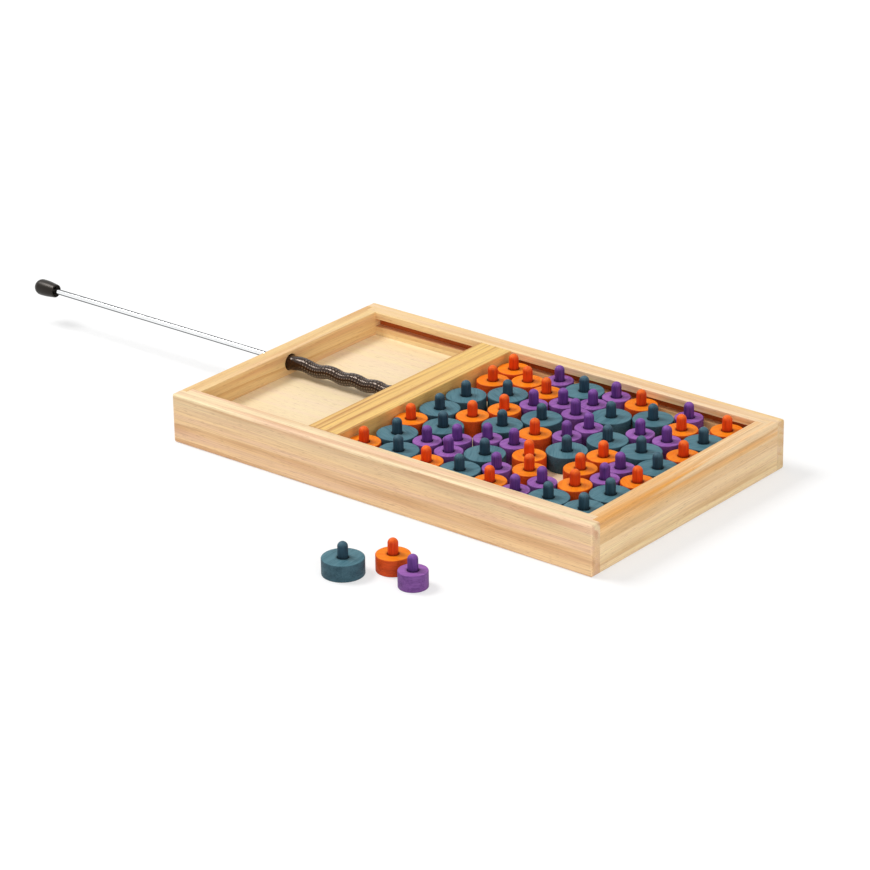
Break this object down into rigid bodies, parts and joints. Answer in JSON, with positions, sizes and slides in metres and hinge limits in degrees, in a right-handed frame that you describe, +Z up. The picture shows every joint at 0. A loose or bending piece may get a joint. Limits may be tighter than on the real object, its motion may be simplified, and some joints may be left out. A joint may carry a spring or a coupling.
{
  "type": "peg tray game",
  "caption": "Shallow divided pine tray packed with stained wooden disc-and-peg pieces, with a steel pick-up stick kept through its end rail.",
  "frame": {"origin": "at table height under the middle of the box round the whole set, stick and table pieces included", "axes": "+X along the tray from the compartment that holds the grip towards the packed one, +Y from the pieces on the table towards the tray's back rail, +Z up"},
  "size_m": [0.4984, 0.2664, 0.0344],
  "materials": {
    "pine_rails": "planed pine, sanded, thin clear lacquer",
    "pine_divider": "planed pine with close straight grain, thin clear lacquer",
    "birch_ply": "sanded birch plywood",
    "steel_rod": "bright plated steel",
    "black_plastic": "moulded gloss with stippled crests",
    "black_rubber": "moulded satin",
    "teal_wood": "dyed hardwood, sanded",
    "orange_wood": "dyed hardwood, sanded",
    "purple_wood": "dyed hardwood, sanded"
  },
  "bodies": {
    "tray": {"front_rail": "pine_rails", "back_rail": "pine_rails", "left_end_rail": "pine_rails", "right_end_rail": "pine_rails", "floor_panel": "birch_ply", "divider": "pine_divider"},
    "stick": {"stick_rod": "steel_rod", "stick_grip": "black_plastic", "stick_end_cap": "black_rubber"},
    "teal_piece_on_table": {"teal_piece_on_table": "teal_wood"},
    "teal_piece_01": {"teal_piece_01": "teal_wood"},
    "teal_piece_02": {"teal_piece_02": "teal_wood"},
    "teal_piece_03": {"teal_piece_03": "teal_wood"},
    "teal_piece_04": {"teal_piece_04": "teal_wood"},
    "teal_piece_05": {"teal_piece_05": "teal_wood"},
    "teal_piece_06": {"teal_piece_06": "teal_wood"},
    "teal_piece_07": {"teal_piece_07": "teal_wood"},
    "teal_piece_08": {"teal_piece_08": "teal_wood"},
    "teal_piece_09": {"teal_piece_09": "teal_wood"},
    "teal_piece_10": {"teal_piece_10": "teal_wood"},
    "teal_piece_11": {"teal_piece_11": "teal_wood"},
    "teal_pair_1": {"teal_pair_1": "teal_wood"},
    "teal_pair_2": {"teal_pair_2": "teal_wood"},
    "teal_pair_3": {"teal_pair_3": "teal_wood"},
    "teal_pair_4": {"teal_pair_4": "teal_wood"},
    "teal_pair_5": {"teal_pair_5": "teal_wood"},
    "orange_piece_on_table": {"orange_piece_on_table": "orange_wood"},
    "orange_piece_01": {"orange_piece_01": "orange_wood"},
    "orange_piece_02": {"orange_piece_02": "orange_wood"},
    "orange_piece_03": {"orange_piece_03": "orange_wood"},
    "orange_piece_04": {"orange_piece_04": "orange_wood"},
    "orange_piece_05": {"orange_piece_05": "orange_wood"},
    "orange_piece_06": {"orange_piece_06": "orange_wood"},
    "orange_piece_07": {"orange_piece_07": "orange_wood"},
    "orange_piece_08": {"orange_piece_08": "orange_wood"},
    "orange_piece_09": {"orange_piece_09": "orange_wood"},
    "orange_piece_10": {"orange_piece_10": "orange_wood"},
    "orange_piece_11": {"orange_piece_11": "orange_wood"},
    "orange_pair_1": {"orange_pair_1": "orange_wood"},
    "orange_pair_2": {"orange_pair_2": "orange_wood"},
    "orange_pair_3": {"orange_pair_3": "orange_wood"},
    "orange_pair_4": {"orange_pair_4": "orange_wood"},
    "orange_pair_5": {"orange_pair_5": "orange_wood"},
    "purple_piece_on_table": {"purple_piece_on_table": "purple_wood"},
    "purple_piece_01": {"purple_piece_01": "purple_wood"},
    "purple_piece_02": {"purple_piece_02": "purple_wood"},
    "purple_piece_03": {"purple_piece_03": "purple_wood"},
    "purple_piece_04": {"purple_piece_04": "purple_wood"},
    "purple_piece_05": {"purple_piece_05": "purple_wood"},
    "purple_piece_06": {"purple_piece_06": "purple_wood"},
    "purple_piece_07": {"purple_piece_07": "purple_wood"},
    "purple_piece_08": {"purple_piece_08": "purple_wood"},
    "purple_piece_09": {"purple_piece_09": "purple_wood"},
    "purple_piece_10": {"purple_piece_10": "purple_wood"},
    "purple_piece_11": {"purple_piece_11": "purple_wood"},
    "purple_pair_1": {"purple_pair_1": "purple_wood"},
    "purple_pair_2": {"purple_pair_2": "purple_wood"},
    "purple_pair_3": {"purple_pair_3": "purple_wood"},
    "purple_pair_4": {"purple_pair_4": "purple_wood"},
    "purple_pair_5": {"purple_pair_5": "purple_wood"}
  },
  "joints": [
    {"name": "stick_draw", "type": "slide", "parent": "tray", "child": "stick", "axis": [-1, 0, 0], "range_m": [0, 0.094]},
    {"name": "teal_piece_on_table_lift", "type": "slide", "parent": "tray", "child": "teal_piece_on_table", "axis": [0, 0, 1], "range_m": [0, 0.04]},
    {"name": "teal_piece_01_lift", "type": "slide", "parent": "tray", "child": "teal_piece_01", "axis": [0, 0, 1], "range_m": [0, 0.04]},
    {"name": "teal_piece_02_lift", "type": "slide", "parent": "tray", "child": "teal_piece_02", "axis": [0, 0, 1], "range_m": [0, 0.04]},
    {"name": "teal_piece_03_lift", "type": "slide", "parent": "tray", "child": "teal_piece_03", "axis": [0, 0, 1], "range_m": [0, 0.04]},
    {"name": "teal_piece_04_lift", "type": "slide", "parent": "tray", "child": "teal_piece_04", "axis": [0, 0, 1], "range_m": [0, 0.04]},
    {"name": "teal_piece_05_lift", "type": "slide", "parent": "tray", "child": "teal_piece_05", "axis": [0, 0, 1], "range_m": [0, 0.04]},
    {"name": "teal_piece_06_lift", "type": "slide", "parent": "tray", "child": "teal_piece_06", "axis": [0, 0, 1], "range_m": [0, 0.04]},
    {"name": "teal_piece_07_lift", "type": "slide", "parent": "tray", "child": "teal_piece_07", "axis": [0, 0, 1], "range_m": [0, 0.04]},
    {"name": "teal_piece_08_lift", "type": "slide", "parent": "tray", "child": "teal_piece_08", "axis": [0, 0, 1], "range_m": [0, 0.04]},
    {"name": "teal_piece_09_lift", "type": "slide", "parent": "tray", "child": "teal_piece_09", "axis": [0, 0, 1], "range_m": [0, 0.04]},
    {"name": "teal_piece_10_lift", "type": "slide", "parent": "tray", "child": "teal_piece_10", "axis": [0, 0, 1], "range_m": [0, 0.04]},
    {"name": "teal_piece_11_lift", "type": "slide", "parent": "tray", "child": "teal_piece_11", "axis": [0, 0, 1], "range_m": [0, 0.04]},
    {"name": "teal_pair_1_lift", "type": "slide", "parent": "tray", "child": "teal_pair_1", "axis": [0, 0, 1], "range_m": [0, 0.04]},
    {"name": "teal_pair_2_lift", "type": "slide", "parent": "tray", "child": "teal_pair_2", "axis": [0, 0, 1], "range_m": [0, 0.04]},
    {"name": "teal_pair_3_lift", "type": "slide", "parent": "tray", "child": "teal_pair_3", "axis": [0, 0, 1], "range_m": [0, 0.04]},
    {"name": "teal_pair_4_lift", "type": "slide", "parent": "tray", "child": "teal_pair_4", "axis": [0, 0, 1], "range_m": [0, 0.04]},
    {"name": "teal_pair_5_lift", "type": "slide", "parent": "tray", "child": "teal_pair_5", "axis": [0, 0, 1], "range_m": [0, 0.04]},
    {"name": "orange_piece_on_table_lift", "type": "slide", "parent": "tray", "child": "orange_piece_on_table", "axis": [0, 0, 1], "range_m": [0, 0.04]},
    {"name": "orange_piece_01_lift", "type": "slide", "parent": "tray", "child": "orange_piece_01", "axis": [0, 0, 1], "range_m": [0, 0.04]},
    {"name": "orange_piece_02_lift", "type": "slide", "parent": "tray", "child": "orange_piece_02", "axis": [0, 0, 1], "range_m": [0, 0.04]},
    {"name": "orange_piece_03_lift", "type": "slide", "parent": "tray", "child": "orange_piece_03", "axis": [0, 0, 1], "range_m": [0, 0.04]},
    {"name": "orange_piece_04_lift", "type": "slide", "parent": "tray", "child": "orange_piece_04", "axis": [0, 0, 1], "range_m": [0, 0.04]},
    {"name": "orange_piece_05_lift", "type": "slide", "parent": "tray", "child": "orange_piece_05", "axis": [0, 0, 1], "range_m": [0, 0.04]},
    {"name": "orange_piece_06_lift", "type": "slide", "parent": "tray", "child": "orange_piece_06", "axis": [0, 0, 1], "range_m": [0, 0.04]},
    {"name": "orange_piece_07_lift", "type": "slide", "parent": "tray", "child": "orange_piece_07", "axis": [0, 0, 1], "range_m": [0, 0.04]},
    {"name": "orange_piece_08_lift", "type": "slide", "parent": "tray", "child": "orange_piece_08", "axis": [0, 0, 1], "range_m": [0, 0.04]},
    {"name": "orange_piece_09_lift", "type": "slide", "parent": "tray", "child": "orange_piece_09", "axis": [0, 0, 1], "range_m": [0, 0.04]},
    {"name": "orange_piece_10_lift", "type": "slide", "parent": "tray", "child": "orange_piece_10", "axis": [0, 0, 1], "range_m": [0, 0.04]},
    {"name": "orange_piece_11_lift", "type": "slide", "parent": "tray", "child": "orange_piece_11", "axis": [0, 0, 1], "range_m": [0, 0.04]},
    {"name": "orange_pair_1_lift", "type": "slide", "parent": "tray", "child": "orange_pair_1", "axis": [0, 0, 1], "range_m": [0, 0.04]},
    {"name": "orange_pair_2_lift", "type": "slide", "parent": "tray", "child": "orange_pair_2", "axis": [0, 0, 1], "range_m": [0, 0.04]},
    {"name": "orange_pair_3_lift", "type": "slide", "parent": "tray", "child": "orange_pair_3", "axis": [0, 0, 1], "range_m": [0, 0.04]},
    {"name": "orange_pair_4_lift", "type": "slide", "parent": "tray", "child": "orange_pair_4", "axis": [0, 0, 1], "range_m": [0, 0.04]},
    {"name": "orange_pair_5_lift", "type": "slide", "parent": "tray", "child": "orange_pair_5", "axis": [0, 0, 1], "range_m": [0, 0.04]},
    {"name": "purple_piece_on_table_lift", "type": "slide", "parent": "tray", "child": "purple_piece_on_table", "axis": [0, 0, 1], "range_m": [0, 0.04]},
    {"name": "purple_piece_01_lift", "type": "slide", "parent": "tray", "child": "purple_piece_01", "axis": [0, 0, 1], "range_m": [0, 0.04]},
    {"name": "purple_piece_02_lift", "type": "slide", "parent": "tray", "child": "purple_piece_02", "axis": [0, 0, 1], "range_m": [0, 0.04]},
    {"name": "purple_piece_03_lift", "type": "slide", "parent": "tray", "child": "purple_piece_03", "axis": [0, 0, 1], "range_m": [0, 0.04]},
    {"name": "purple_piece_04_lift", "type": "slide", "parent": "tray", "child": "purple_piece_04", "axis": [0, 0, 1], "range_m": [0, 0.04]},
    {"name": "purple_piece_05_lift", "type": "slide", "parent": "tray", "child": "purple_piece_05", "axis": [0, 0, 1], "range_m": [0, 0.04]},
    {"name": "purple_piece_06_lift", "type": "slide", "parent": "tray", "child": "purple_piece_06", "axis": [0, 0, 1], "range_m": [0, 0.04]},
    {"name": "purple_piece_07_lift", "type": "slide", "parent": "tray", "child": "purple_piece_07", "axis": [0, 0, 1], "range_m": [0, 0.04]},
    {"name": "purple_piece_08_lift", "type": "slide", "parent": "tray", "child": "purple_piece_08", "axis": [0, 0, 1], "range_m": [0, 0.04]},
    {"name": "purple_piece_09_lift", "type": "slide", "parent": "tray", "child": "purple_piece_09", "axis": [0, 0, 1], "range_m": [0, 0.04]},
    {"name": "purple_piece_10_lift", "type": "slide", "parent": "tray", "child": "purple_piece_10", "axis": [0, 0, 1], "range_m": [0, 0.04]},
    {"name": "purple_piece_11_lift", "type": "slide", "parent": "tray", "child": "purple_piece_11", "axis": [0, 0, 1], "range_m": [0, 0.04]},
    {"name": "purple_pair_1_lift", "type": "slide", "parent": "tray", "child": "purple_pair_1", "axis": [0, 0, 1], "range_m": [0, 0.04]},
    {"name": "purple_pair_2_lift", "type": "slide", "parent": "tray", "child": "purple_pair_2", "axis": [0, 0, 1], "range_m": [0, 0.04]},
    {"name": "purple_pair_3_lift", "type": "slide", "parent": "tray", "child": "purple_pair_3", "axis": [0, 0, 1], "range_m": [0, 0.04]},
    {"name": "purple_pair_4_lift", "type": "slide", "parent": "tray", "child": "purple_pair_4", "axis": [0, 0, 1], "range_m": [0, 0.04]},
    {"name": "purple_pair_5_lift", "type": "slide", "parent": "tray", "child": "purple_pair_5", "axis": [0, 0, 1], "range_m": [0, 0.04]}
  ]
}
